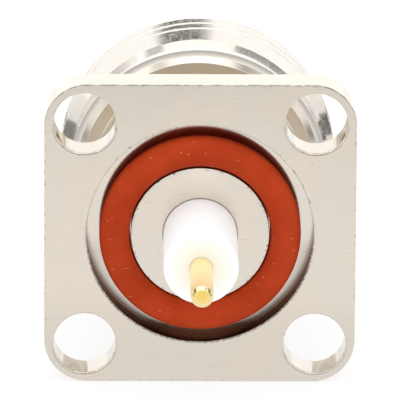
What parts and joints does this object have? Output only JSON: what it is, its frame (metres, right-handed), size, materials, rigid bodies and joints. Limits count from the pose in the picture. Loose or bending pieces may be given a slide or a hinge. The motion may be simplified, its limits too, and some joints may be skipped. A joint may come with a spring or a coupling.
{
  "type": "coaxial panel jack",
  "caption": "Threaded coaxial jack on a square panel flange with corner screw holes, a sealing ring, an extended insulator and a gold solder pin.",
  "frame": {"origin": "centre of the flange's rear face, on the coupling axis", "axes": "+Y along the coupling axis towards the thread and the mouth, -Y towards the solder pin, X and Z along the flange's sides"},
  "size_m": [0.0176, 0.0295, 0.0176],
  "materials": {
    "nickel": "satin nickel plate over brass",
    "silicone": "matt brick-red silicone",
    "insulator": "turned white fluoropolymer",
    "gold": "bright gold plate"
  },
  "bodies": {
    "root": {"body": "nickel", "outer_contact_bush": "nickel", "flange_o_ring": "silicone", "rear_insulator": "insulator", "front_insulator": "insulator", "centre_contact": "gold"}
  },
  "joints": []
}
